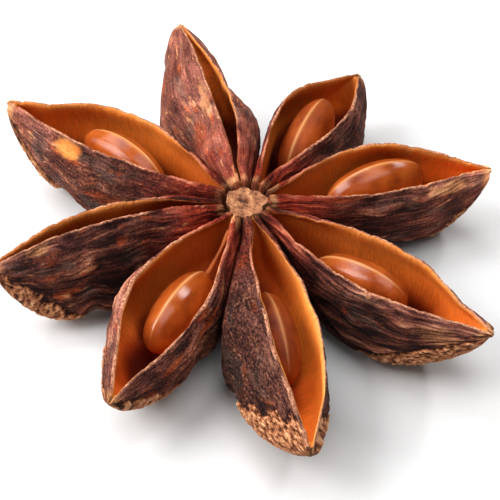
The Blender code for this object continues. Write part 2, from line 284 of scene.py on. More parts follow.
def keel_depth(carpel, s):
    """Depth of the carpel below its rim, with the hump and the dent on its keel."""
    growth = ROOT_DEPTH + (1 - ROOT_DEPTH) * np.sin(math.pi / 2 * np.minimum(s / DEEP_AT, 1))
    beyond = np.maximum((s - DEEP_AT) / (1 - DEEP_AT), 0)
    chin = (1 - beyond ** carpel["chin"]) ** carpel.get("chin_curve", CHIN_CURVE)
    lobe = bump(s, carpel["lobe_at"], LOBE_LENGTH)
    notch = NOTCH_DEPTH * bump(s, carpel["lobe_at"] + NOTCH_BEYOND, NOTCH_LENGTH)
    return carpel["depth"] * growth * chin + carpel["lobe"] * (lobe - notch) + TIP_DEPTH * s ** 6


def wall_curve(rim, belly, depth, shoulder):
    """Half a cross-section from rim to keel at each station: distances out and heights."""
    down = np.linspace(0, 1, CURVE_STEPS + 1)
    side = np.clip(down / SIDE_SHARE, 0, 1)
    under = np.clip((down - SIDE_SHARE) / (1 - SIDE_SHARE), 0, 1) * math.pi / 2
    out = np.where(down < SIDE_SHARE, rim + (belly - rim) * np.sin(math.pi / 2 * side) ** shoulder,
                   belly * np.abs(np.cos(under)) ** (2 / TURN))
    drop = np.where(down < SIDE_SHARE, SIDE_DROP * side,
                    SIDE_DROP + (1 - SIDE_DROP) * np.sin(under) ** (2 / TURN))
    out[:, -1] = 0
    return out, -depth * drop


def sector_limits(carpel, s, steps_beside):
    """How far the carpel may reach to its left and right before it meets its neighbours."""
    radius, aside, _ = centre_line(carpel, s)
    left, right = (math.radians(step) / 2 for step in steps_beside)
    return (radius * math.tan(left) - aside - CREASE / 2 / math.cos(left),
            radius * math.tan(right) + aside - CREASE / 2 / math.cos(right))


def half_section(carpel, s, side, depth, limits, cavity=None):
    """One side of each cross-section from rim to keel: of the wall, or of the cavity inside it."""
    rim = rim_half_width(carpel, s, side)
    belly = rim + carpel["bulge"][side < 0] * hump(s, BULGE_AT, carpel.get("bulge_point", BULGE_POINT))
    pressed = ease((carpel["press"][side < 0] - s) / PRESS_FADE)
    room = limits[side < 0] * PRESS_SHARE
    belly = belly + pressed * np.maximum(room - belly, 0)
    out, up = wall_curve(rim, belly, depth, 1 - 0.4 * pressed)
    reach = np.array(limits)
    if cavity is not None:
        wall_out, wall_up = out, up
        out, up = wall_curve(rim, belly, cavity, 1 - 0.4 * pressed)
        edge = rim_wall(carpel, s, side)
        thickness = edge + np.maximum(WALL - edge, 0) * (1 - np.exp(up / THICK_BELOW))
        out = out - thickness
        for slope in (-1.2, -0.6, 0, 0.6, 1.2):
            heights = up + thickness * math.sin(slope)
            beside = [np.interp(-height, -wall_height, wall)
                      for height, wall_height, wall in zip(heights, wall_up, wall_out)]
            out = np.minimum(out, beside - thickness * math.cos(slope))
        out = np.maximum(out, SLOT_HALF_WIDTH)
        out[:, -1] = 0
        reach = np.maximum(reach - WALL, SLOT_HALF_WIDTH)
    lean = np.radians(carpel["lean"]) * ease(s / LEAN_FULL_AT)
    across = side * out * np.cos(lean) - up * np.sin(lean)
    height = side * out * np.sin(lean) + up * np.cos(lean)
    across = limited(across, np.where(across > 0, reach[0], reach[1]))
    return evenly(across, height, WALL_STEPS if cavity is None else CAVITY_STEPS)


def evenly(across, up, steps):
    """The same curves in equal steps, and their lengths."""
    pieces = np.hypot(np.diff(across, axis=1), np.diff(up, axis=1))
    run = np.concatenate((np.zeros((len(pieces), 1)), np.cumsum(pieces, axis=1)), axis=1)
    share = np.linspace(0, 1, steps + 1)
    even = [[np.interp(share * way[-1], way, values[row]) for row, way in enumerate(run)]
            for values in (across, up)]
    return np.array(even[0]), np.array(even[1]), run[:, -1:]


def rim_wall(carpel, s, side):
    """Thickness of the wall at its rim: thin, but for the lips beside the core and a rim that is worn
    broad towards the tip."""
    broad = carpel["worn"][side < 0] * ease((s - 0.2) / 0.5)
    return RIM_WALL + broad + (LIP_WALL - RIM_WALL) * (1 - ease(s / carpel["lips"]))


def rim_strip(outer, inner, crown=0.3):
    """The points between the outer and the inner edge of a rim, slightly crowned."""
    share = np.linspace(0, 1, EDGE_STEPS + 1)[1:-1]
    across = outer[0][:, :1] + (inner[0][:, :1] - outer[0][:, :1]) * share
    up = outer[1][:, :1] + (inner[1][:, :1] - outer[1][:, :1]) * share
    width = np.abs(inner[0][:, :1] - outer[0][:, :1])
    return across, up + crown * width * np.sin(math.pi * share)


def husk_section(carpel, s, steps_beside):
    """Closed rings round the husk, with what each point is: its side, its zone (0 outside, 1 lining,
    between on the rim), how far below the rim it is, and its distance round the section."""
    depth = keel_depth(carpel, s)
    fade = ease(s / FADE_IN) * ease((FADE_END - s) / FADE_OUT)
    cavity = np.maximum((depth - KEEL_WALL) * fade, SLOT_DEPTH)
    limits = sector_limits(carpel, s, steps_beside)
    rings = {name: [] for name in ("across", "up", "below", "side", "zone", "round")}

    def add(across, up, below, side, zone, round_):
        for name, value in zip(rings, (across, up, below, side, zone, round_)):
            rings[name].append(np.broadcast_to(value, across.shape))

    outer = {side: half_section(carpel, s, side, depth, limits) for side in (1, -1)}
    inner = {side: half_section(carpel, s, side, depth, limits, cavity) for side in (1, -1)}
    down = np.linspace(0, 1, WALL_STEPS + 1)
    deep = np.linspace(0, 1, CAVITY_STEPS + 1)
    strip = np.linspace(0, 1, EDGE_STEPS + 1)[1:-1]
    left, right = outer[1], outer[-1]
    add(left[0], left[1], left[2] * down, 1, 0, (1 - down) * WALL_SPAN)
    add(right[0][:, -2::-1], right[1][:, -2::-1], right[2] * down[-2::-1], -1, 0,
        (down[-2::-1] - 1) * WALL_SPAN)
    edge = rim_wall(carpel, s, -1)
    add(*rim_strip(right, inner[-1]), 0, -1, strip, -WALL_SPAN - edge * strip)
    add(inner[-1][0], inner[-1][1], inner[-1][2] * deep, -1, 1, -WALL_SPAN - edge - deep * LINING_SPAN)
    edge = rim_wall(carpel, s, 1)
    add(inner[1][0][:, -2::-1], inner[1][1][:, -2::-1], inner[1][2] * deep[-2::-1], 1, 1,
        WALL_SPAN + edge + deep[-2::-1] * LINING_SPAN)
    back_across, back_up = rim_strip(left, inner[1])
    add(back_across[:, ::-1], back_up[:, ::-1], 0, 1, strip[::-1], WALL_SPAN + edge * strip[::-1])
    return {name: np.concatenate(values, axis=1) for name, values in rings.items()}


WALL_SPAN = 9.0           # nominal length of a wall from rim to keel, for the run of its fibres
LINING_SPAN = 7.0


def normals_of(points):
    """Unit normals of a grid of points that is closed the second way, pointing out of the husk."""
    along = np.gradient(points, axis=0)
    around = np.roll(points, -1, axis=1) - np.roll(points, 1, axis=1)
    normal = np.cross(along, around)
    length = np.linalg.norm(normal, axis=2, keepdims=True)
    return normal / np.maximum(length, 1e-9)


# ---------------------------------------------------------------- relief of a husk

def outside_relief(u, v, s, surface, seed):
    """Height of the outer wall's wrinkles and fibres, and how much of a crest each point is: pale on the crests
    and darkened in the grooves as painted shade.
    """
    wander = 0.5 * fractal(u / 4.0, v / 2.6, seed, 2)
    dents = fractal(u / 5.5, v / 3.6, seed + 1, 2)
    wrinkles = np.abs(noise(u / 6.5, (v + 2.4 * wander) / 1.2, seed + 3))
    strands = np.abs(noise(u / 4.5, (v + wander) / 0.5, seed + 4))
    threads = np.abs(noise(u / 2.6, (v + wander) / 0.21, seed + 5))
    lumps = fractal(u / 1.7, v / 1.3, seed + 6, 3)
    grit = fractal(u / 0.32, v / 0.26, seed + 7, 2)
    fibre = surface["fibre"] * (1.25 - 0.6 * s)
    relief = (0.2 * surface["lump"] * dents + 0.09 * surface["lump"] * lumps
              + 0.26 * surface["wrinkle"] * (wrinkles - 0.35) + 0.1 * fibre * (strands - 0.35)
              + 0.05 * fibre * (threads - 0.35) + 0.022 * surface["grain"] * grit)
    # Pale on the crests, and dark in the grooves as painted shade.
    crest = (0.42 + 0.5 * surface["wrinkle"] * (wrinkles - 0.35) + 0.42 * fibre * (strands - 0.35)
             + 0.36 * fibre * (threads - 0.35) + 0.13 * surface["grain"] * grit + 0.12 * lumps)
    return relief, crest


def tear(u, v, s, below, surface, seed, length):
    """How far past the edge of the torn skin each point lies, in millimetres."""
    start, depth, rise = surface["tear"]
    ragged = 0.45 * fractal(u / 1.3, v / 1.0, seed + 8, 3)
    return (s - start) * length + (below - depth) * rise + ragged


def patch_mask(patch, u, v, below, side, length, seed):
    """Where a single patch covers the outer wall, 0 to 1, with a ragged edge."""
    along = (u - patch["at"] * length) / patch["long"]
    down = (below - patch["below"]) / patch["wide"]
    ragged = 0.15 if patch["kind"] == "bald" else 0.45
    distance = np.hypot(along, down) + ragged * fractal(u / 0.9, v / 0.5, seed, 3)
    return patch["strong"] * ease((1.2 - distance) * 1.6) * (side == patch["side"])


def mottles(number, u, v, s, ring, length):
    """The stains of the outer wall and its painted shade, each 0 to 1, and the painted light and shade of the
    lining.
    """
    surface, seed = SURFACES[number - 1], 100 * number

    def stain(name, shift, long, wide, cover):
        cloud = fractal(u / long, v / wide, seed + shift, 4, 0.6)
        return ease((cloud - cover + 0.5 * surface[name]) * 2.2)

    under_rim = np.exp(-(ring["below"] / surface["flush_width"]) ** 2)
    patchy = ease(0.7 + 0.9 * fractal(u / 1.6, v / 0.9, seed + 44, 3))
    values = {
        "grey": 0.8 * stain("grey", 40, 2.6, 1.5, 0.55),
        "rust": 0.8 * stain("rust", 41, 2.2, 0.9, 0.8),
        "tan": 0.8 * stain("tan", 42, 1.3, 0.5, 0.9),
        "bald": np.zeros_like(u),
        # Painted shade lower down the outer wall.
        "painted_shade": surface["low_shade"] * ease((ring["below"] - 1.2) / 3) * ease(1.3 - s),
        "flush": surface["flush"] * under_rim * patchy,
        "neck": surface["neck"] * (1 - ease((s - 0.08) / 0.36)) + 0 * u,
        # Painted light on the lining, weaker beside the core, and painted shade further down.
        "lining_light_and_shade": (surface["lining_light_and_shade"] * (0.62 + 0.38 * ease((s - 0.05) / 0.4))
                 * (1 - 0.82 * ease((ring["below"] - surface["lining_shade_depth"]) / 1.4))),
        "tone_and_shade": surface["tone_and_shade"][0] + (surface["tone_and_shade"][1] - surface["tone_and_shade"][0]) * ease(s) + 0 * u,
    }
    for k, patch in enumerate(PATCHES):
        if patch["carpel"] == number:
            mask = patch_mask(patch, u, v, ring["below"], ring["side"], length, seed + 60 + k)
            values[patch["kind"]] = np.maximum(values[patch["kind"]], mask)
    return values


def lining_relief(u, v, seed):
    """Height of the smooth lining, with fine fibres that run down from the rim."""
    return (0.035 * fractal(u / 3.0, v / 3.5, seed + 8, 2) + 0.006 * noise(u / 0.16, v / 1.4, seed + 9)
            + 0.004 * fractal(u / 0.3, v / 0.3, seed + 10, 2))


def ragged_rim(u, side, seed):
    """How far the rim is worn down."""
    shift = seed + 11 + (side > 0)
    chips = np.maximum(fractal(u / 0.9, 0.37 * seed, shift, 4, 0.6), 0)
    return 0.14 * chips + 0.05 * noise(u / 0.26, 0.2 * seed, shift + 3)


def wavy_rim(u, s, ring, seed):
    """How far the wall near the rim wanders to the left, as a column for the points."""
    sway = 0.1 * fractal(u / 2.6, 0.31 * seed, seed + 17 + (ring["side"] > 0), 3)
    sway = sway * ease(s / 0.1) * ease((0.98 - s) / 0.15)
    return (sway * np.exp(-(ring["below"] / 1.6) ** 2))[..., None]


def husk_points(carpel, s, section):
    """The rings' points in the pod, in millimetres from its axis at floor level."""
    radius, aside, height = centre_line(carpel, s)
    ahead, left = outward(carpel["heading"]), outward(carpel["heading"] + 90)
    points = radius[..., None] * ahead + (aside + section["across"])[..., None] * left
    points[..., 2] += RIM_HEIGHT + height + section["up"]
    return points


def husk_mesh(number, steps_beside):
    """The husk's vertices, faces and surface values."""
    carpel, surface, seed = CARPELS[number - 1], SURFACES[number - 1], 100 * number
    length = carpel["length"] - INNER_END
    share = np.linspace(0, 1, STATIONS + 1)
    s = (0.85 * share + 0.15 * (0.5 - 0.5 * np.cos(math.pi * share)))[:, None]
    ring = husk_section(carpel, s, steps_beside)
    points = husk_points(carpel, s, ring)
    v, zone, below = ring["round"], ring["zone"], ring["below"]
    u = s * length + 0 * v
    values = mottles(number, u, v, s, ring, length)

    outside, crest = outside_relief(u, v, s, surface, seed)
    past = tear(u, v, s, below, surface, seed, length)
    torn = ease(past / 0.12 + 0.5) * (zone == 0)
    crack = bump(past, 0.08, 0.16) * (zone == 0)
    rough = fractal(u / 0.45, (below + 0.3 * v) / 0.42, seed + 20, 4, 0.72)
    outside = outside * (1 - 0.6 * torn) + torn * (0.05 + 0.1 * rough) + 0.07 * bump(past, -0.25, 0.25)
    outside = (outside - 0.2 * crack) * (1 - 0.7 * values["bald"]) - 0.04 * values["bald"]
    deepest = -0.04 - 0.07 * (1 - np.exp(-below / 1.5))
    outside = np.clip(outside, deepest, 0.04 + 0.24 * ease((s - 0.25) / 0.25))
    outside = outside * (0.2 + 0.8 * ease((1 - s) / 0.22))
    # The crack at the edge of the tear is darkened as a painted shadow under the lifted skin.
    crest = crest * (1 - torn) + torn * (0.5 + 0.42 * rough) - 0.4 * crack
    lips = 1 - ease(s / carpel["lips"])
    wrinkled = 0.05 * fractal(u / 0.5, v / 0.3, seed + 23, 3) * lips
    near_rim = np.exp(-(below / 0.25) ** 2)
    relief = np.where(zone == 0, outside * (1 - 0.6 * near_rim),
                      np.where(zone == 1, lining_relief(u, v, seed), wrinkled))
    ends = ease(s / 0.02) * ease((1 - s) / 0.02)
    points = points + normals_of(points) * (relief * ends)[..., None]
    points = points + wavy_rim(u, s, ring, seed) * outward(carpel["heading"] + 90)
    worn = ragged_rim(u, ring["side"], seed) * np.exp(-(below / 0.45) ** 2) * ease(s / 0.05)
    points[..., 2] -= worn * ease((1 - s) / 0.04)
    points[..., 2] = np.maximum(points[..., 2], 0)

    on_rim = (zone > 0) & (zone < 1)
    bare = (1 - 0.9 * lips) * np.clip(0.7 + 1.0 * noise(u / 1.7, 5 * ring["side"], seed + 25), 0.15, 1)
    shut = ease((0.99 - s) / 0.01)
    # Pale broken fibre at the lips' ends beside the core, made paler as painted light; and the tip's bare wood.
    broken_and_lit_ends = 0.4 * (1 - ease((s - 0.01) / 0.02)) * np.exp(-(below / 0.6) ** 2)
    values["tan"] = np.maximum(values["tan"], np.maximum(broken_and_lit_ends, ease((s - 0.95) / 0.04)))
    values["edge"] = np.where(on_rim, 1.0, np.exp(-(below / 0.05) ** 2) * (zone == 0)) * bare * shut
    values["lining"] = np.where(on_rim, zone * (1 - lips), zone) * shut
    values.update(below=below / 10, crest=crest, torn=torn, grit=surface["grain"] + 0 * u)
    grain = np.stack((u, v, np.full_like(u, 10 * number)), axis=-1)
    return close_ends(points, values, grain, outward(carpel["heading"]))


# Surface values on a husk's inner end, reddish wood darkened by painted shade in the crevice beside the core,
# and on its tip, bare pale wood.
END_VALUES = {"lining": (0, 0), "edge": (0, 0), "tan": (0.3, 1), "torn": (0, 0), "below": (0.2, 0.2),
              "neck": (0.8, 0), "painted_shade": (0.3, 0)}


def close_ends(points, values, grain, ahead):
    """Round off both ends of a tube of rings, and return its vertices, faces and values."""
    first, last = [], []
    for rings, edge, reach in ((first, points[0], -END_REACH), (last, points[-1], BEAK_REACH)):
        middle = edge.mean(axis=0)
        for k in range(1, CAP_RINGS + 1):
            angle = math.pi / 2 * k / (CAP_RINGS + 0.5)
            rings.append(middle + (edge - middle) * math.cos(angle) + ahead * reach * math.sin(angle))
    grid = np.concatenate((np.array(first[::-1]), points, np.array(last)))
    rows, count = grid.shape[:2]
    poles = [grid[0].mean(axis=0) - ahead * 0.01, grid[-1].mean(axis=0) + ahead * 0.01]
    vertices = np.concatenate((grid.reshape(-1, 3), poles))
    index = np.arange(rows * count).reshape(rows, count)
    beside = np.roll(index, -1, axis=1)
    quads = np.stack((index[:-1], index[1:], beside[1:], beside[:-1]), axis=-1).reshape(-1, 4)
    fans = [(rows * count, a, b) for a, b in zip(index[0], beside[0])]
    fans += [(rows * count + 1, b, a) for a, b in zip(index[-1], beside[-1])]

    def spread(field, inner=None, outer=None):
        """A value of the rings, carried over the ends or set to what they have there."""
        start = field[:1] if inner is None else np.full_like(field[:1], inner)
        stop = field[-1:] if outer is None else np.full_like(field[-1:], outer)
        wide = np.concatenate([start] * CAP_RINGS + [field] + [stop] * CAP_RINGS)
        flat = wide.reshape(rows * count, -1)
        return np.concatenate((flat, flat[:1], flat[-1:]))

    values = {name: spread(np.broadcast_to(field, points.shape[:2]), *END_VALUES.get(name, ()))[:, 0]
              for name, field in values.items()}
    return vertices, quads.tolist() + fans, values, spread(grain)


# ---------------------------------------------------------------- meshes

def make_piece(name, vertices, faces, material, replaced, values=None, grain=None):
    """A smooth mesh in place of one solid, with its surface values stored on its vertices."""
    mesh = bpy.data.meshes.new(name)
    mesh.from_pydata((np.asarray(vertices) * MM + AXIS).tolist(), [], faces)
    for field, value in (values or {}).items():
        attribute = mesh.attributes.new(field, "FLOAT", "POINT")
        attribute.data.foreach_set("value", np.ascontiguousarray(value, dtype=np.float32))
    if grain is not None:
        attribute = mesh.attributes.new("grain", "FLOAT_VECTOR", "POINT")
        attribute.data.foreach_set("vector", np.ascontiguousarray(grain, dtype=np.float32).ravel())
    mesh.materials.append(material)
    mesh.shade_smooth()
    obj = bpy.data.objects.new(name, mesh)
    bpy.context.scene.collection.objects.link(obj)
    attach(obj, BODY)
    if replaced:
        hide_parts(replaced)
    return obj


def make_husks(material):
    """The eight husks."""
    order = sorted(range(len(CARPELS)), key=lambda k: CARPELS[k]["heading"] % 360)
    for place, k in enumerate(order):
        here = CARPELS[k]["heading"]
        after = CARPELS[order[(place + 1) % len(order)]]["heading"]
        before = CARPELS[order[place - 1]]["heading"]
        steps_beside = ((after - here) % 360, (here - before) % 360)
        vertices, faces, values, grain = husk_mesh(k + 1, steps_beside)
        make_piece(f"husk_{k + 1}", vertices, faces, material, f"carpel_{k + 1}", values, grain)


def sphere_faces(bands, sides):
    """Faces of a globe of rings with a pole at each end; the poles are its last two vertices."""
    index = np.arange(bands * sides).reshape(bands, sides)
    beside = np.roll(index, -1, axis=1)
    quads = np.stack((index[:-1], index[1:], beside[1:], beside[:-1]), axis=-1).reshape(-1, 4)
    fans = [(bands * sides, a, b) for a, b in zip(index[0], beside[0])]
    fans += [(bands * sides + 1, b, a) for a, b in zip(index[-1], beside[-1])]
    return quads.tolist() + fans


def seed_vertices(seed):
    """A flattened seed with a fine ridge along its upper edge, in place."""
    carpel = CARPELS[seed["carpel"] - 1]
    polar = np.linspace(0, math.pi, SEED_BANDS + 2)[1:-1, None]
    turn = np.linspace(0, 2 * math.pi, SEED_SIDES, endpoint=False)[None]
    from_top = (turn + math.pi) % (2 * math.pi) - math.pi
    x = -np.cos(polar) + 0 * turn
    girth = np.sin(polar) ** 0.92
    ridge = (bump(from_top, 0, 0.085) * 0.028 - bump(np.abs(from_top), 0.3, 0.16) * 0.016) * girth ** 0.5
    wave = 0.006 * fractal(2.2 * x + 9 * seed["carpel"], 1.2 * np.cos(turn) + 3, 7, 2)
    swell = 1 + ridge + wave
    y = girth * np.sin(turn) * swell * (1 - 0.05 * x)
    z = girth * np.cos(turn) * swell * (1 - 0.06 * x)
    local = np.stack((x * SEED_LENGTH / 2, y * SEED_WIDTH / 2, z * SEED_HEIGHT / 2), axis=-1).reshape(-1, 3)
    local = np.concatenate((local, [(-SEED_LENGTH / 2, 0, 0), (SEED_LENGTH / 2, 0, 0)]))
    radius, aside, height = centre_line(carpel, seed["at"])
    middle = (radius * outward(carpel["heading"])
              + (aside + seed["aside"]) * outward(carpel["heading"] + 90))
    middle[2] = RIM_HEIGHT + height - seed["sunk"]
    heading = Matrix.Rotation(math.radians(carpel["heading"] + seed["turn"]), 3, "Z")
    tip = Matrix.Rotation(-math.radians(seed["tip"]), 3, "Y")
    roll = Matrix.Rotation(math.radians(seed["roll"]), 3, "X")
    placed = local @ np.array(heading @ tip @ roll).T + middle
    # The pale line along the ridge: partly its own colour, partly a painted highlight.
    ridge_line = np.concatenate(((bump(from_top, 0, 0.07) * girth).ravel(), (0, 0)))
    return placed, {"ridge": ridge_line, "tone_and_shade": np.full(len(local), seed["tone_and_shade"])}, local


def make_seeds(polished, dull):
    """The six seeds."""
    faces = sphere_faces(SEED_BANDS, SEED_SIDES)
    for seed in SEEDS:
        vertices, values, grain = seed_vertices(seed)
        grain = grain + (0, 0, 20 * seed["carpel"])
        name = f"kernel_{seed['carpel']}"
        material = dull if seed["carpel"] in DULL_SEEDS else polished
        make_piece(name, vertices, faces, material, f"seed_{seed['carpel']}", values, grain)


def tube(points, widths, sides=10):
    """A round tube along some points, closed at both ends: its vertices and faces."""
    points = np.asarray(points, dtype=float)
    ahead = np.gradient(points, axis=0)
    ahead /= np.linalg.norm(ahead, axis=1, keepdims=True)
    level = np.cross(ahead, (0, 0, 1))
    level /= np.linalg.norm(level, axis=1, keepdims=True)
    upward = np.cross(level, ahead)
    turn = np.linspace(0, 2 * math.pi, sides, endpoint=False)
    ring = (np.cos(turn)[:, None, None] * level + np.sin(turn)[:, None, None] * upward).transpose(1, 0, 2)
    vertices = points[:, None] + ring * np.asarray(widths)[:, None, None] / 2
    vertices = np.concatenate((vertices.reshape(-1, 3), points[[0, -1]]))
    return vertices, sphere_faces(len(points), sides)


def make_stalk(material):
    """The dried stalk of one seed, from the seed's inner end up the cavity to the core."""
    carpel = CARPELS[STALK_CARPEL - 1]
    share = np.linspace(0, 1, 41)[:, None]
    radius = STALK_START[0] + (STALK_STOP[0] - STALK_START[0]) * share
    aside = STALK_START[1] + (STALK_STOP[1] - STALK_START[1]) * share + 0.12 * np.sin(math.pi * share)
    height = STALK_START[2] + (STALK_STOP[2] - STALK_START[2]) * share + 0.15 * np.sin(math.pi * share)
    points = radius * outward(carpel["heading"]) + aside * outward(carpel["heading"] + 90)
    points[:, 2] += height[:, 0]
    widths = 0.3 + 0.06 * np.cos(2 * math.pi * share[:, 0]) + 0.04 * noise(share[:, 0] * 9, 0.5, 77)
    vertices, faces = tube(points, widths, 24)
    # Darkened like its seed, as painted shade.
    tone_and_shade = np.full(len(vertices), 0.74)
    make_piece(f"stalk_{STALK_CARPEL}", vertices, faces, material, None,
               {"tone_and_shade": tone_and_shade, "ridge": 0.15 * tone_and_shade}, vertices)


def make_core(material):
    """The dry fibrous core, sunk a little between the husks' ends."""
    down = np.linspace(0, 1, CORE_RINGS)[:, None]
    turn = np.linspace(0, 2 * math.pi, CORE_SIDES, endpoint=False)[None]
    top = np.clip(down / 0.5, 0, 1)
    side = np.clip((down - 0.5) / 0.5, 0, 1)
    outline = 1.34 + 0.1 * np.cos(8 * (turn - 0.1)) + 0.1 * np.sin(3 * turn + 1) + 0.07 * np.sin(5 * turn)
    radius = np.where(down < 0.5, top, 1 - 0.55 * side ** 4) * outline + 1e-4
    x, y = radius * np.cos(turn), radius * np.sin(turn)
    rough = fractal(x / 0.55 + 7, y / 0.55 + 3, 41, 4, 0.6)
    pits = bump(np.hypot(x - 0.1, y - 0.25), 0, 0.22) + 0.7 * bump(np.hypot(x + 0.35, y - 0.35), 0, 0.15)
    height = -0.42 + 0.06 * rough - 0.36 * pits + 0.12 * top ** 2
    fibres = 0.05 * ridged(3 * turn * CORE_RADIUS / 0.5, side * 1.5, 47)
    x, y = x + fibres * np.cos(turn) * (side > 0), y + fibres * np.sin(turn) * (side > 0)
    z = RIM_HEIGHT + np.where(down < 0.5, height, height - (CORE_DEPTH - 0.5) * side)
    vertices = np.stack((x, y, z), axis=-1).reshape(-1, 3)
    poles = [(0, 0, vertices[:CORE_SIDES, 2].mean()), (0, 0, vertices[-CORE_SIDES:, 2].mean())]
    vertices = np.concatenate((vertices, poles))
    values = {"relief": np.concatenate(((rough - 1.6 * pits + 0 * turn).ravel(), (0, 0)))}
    faces = [face[::-1] for face in sphere_faces(CORE_RINGS, CORE_SIDES)]
    make_piece("core_wood", vertices, faces, material, "columella", values, vertices)


# ---------------------------------------------------------------- materials

class Graph:
    """A material's node tree, built one node at a time."""

    def __init__(self, name):
        self.material = bpy.data.materials.new(name)
        self.material.use_nodes = True
        self.tree = self.material.node_tree
        self.shader = self.tree.nodes["Principled BSDF"]

    def add(self, kind, inputs=None, **settings):
        node = self.tree.nodes.new(kind)
        for name, value in settings.items():
            setattr(node, name, value)
        for name, value in (inputs or {}).items():
            self.feed(node.inputs[name], value)
        return node

    def feed(self, socket, value):
        if isinstance(value, bpy.types.NodeSocket):
            self.tree.links.new(value, socket)
        else:
            socket.default_value = value

    def field(self, name):
        """A value stored on the vertices."""
        return self.add("ShaderNodeAttribute", attribute_name=name).outputs["Fac"]

    def grain(self, scale):
        """The place along and round the husk, scaled."""
        place = self.add("ShaderNodeAttribute", attribute_name="grain").outputs["Vector"]
        return self.add("ShaderNodeVectorMath", {0: place, 1: scale}, operation="MULTIPLY").outputs[0]

    def noise(self, vector, detail=3.0, roughness=0.55, distortion=0.0):
        node = self.add("ShaderNodeTexNoise", {"Vector": vector, "Scale": 1.0, "Detail": detail,
                                               "Roughness": roughness, "Distortion": distortion})
        return node.outputs["Fac"]

    def maths(self, operation, a, b=0.0, c=0.0, clamp=False):
        node = self.add("ShaderNodeMath", {0: a, 1: b, 2: c}, operation=operation, use_clamp=clamp)
        return node.outputs[0]

    def span(self, value, low, high, smooth=True):
        """0 below low and 1 above high."""
        kind = "SMOOTHSTEP" if smooth else "LINEAR"
        node = self.add("ShaderNodeMapRange", {"Value": value, "From Min": low, "From Max": high},
                        interpolation_type=kind)
        return node.outputs["Result"]

    def mix(self, share, a, b, blend="MIX"):
        node = self.add("ShaderNodeMix", data_type="RGBA", blend_type=blend)
        for socket, value in zip((node.inputs[0], node.inputs[6], node.inputs[7]), (share, a, b)):
            self.feed(socket, value)
        return node.outputs[2]

    def ramp(self, value, *stops):
        """Colours between stops of (place, colour)."""
        node = self.add("ShaderNodeValToRGB", {"Fac": value})
        elements = node.color_ramp.elements
        while len(elements) < len(stops):
            elements.new(0.5)
        for element, (place, colour) in zip(elements, stops):
            element.position = place
            element.color = colour
        return node.outputs["Color"]

    def grey(self, value, fall=1.0):
        """A colour of one brightness; a fall above 1 makes it redder as it gets darker."""
        other = value if fall == 1.0 else self.maths("POWER", value, fall)
        return self.add("ShaderNodeCombineColor", {"Red": value, "Green": other, "Blue": other}).outputs["Color"]

    def bump(self, height, distance, normal=None):
        inputs = {"Height": height, "Distance": distance, "Strength": 1.0}
        if normal is not None:
            inputs["Normal"] = normal
        return self.add("ShaderNodeBump", inputs).outputs["Normal"]


def rgb(red, green, blue):
    """A screen colour, 0 to 255, as the shader's linear one."""
    def linear(value):
        value /= 255
        return value / 12.92 if value <= 0.04045 else ((value + 0.055) / 1.055) ** 2.4
    return (linear(red), linear(green), linear(blue), 1.0)


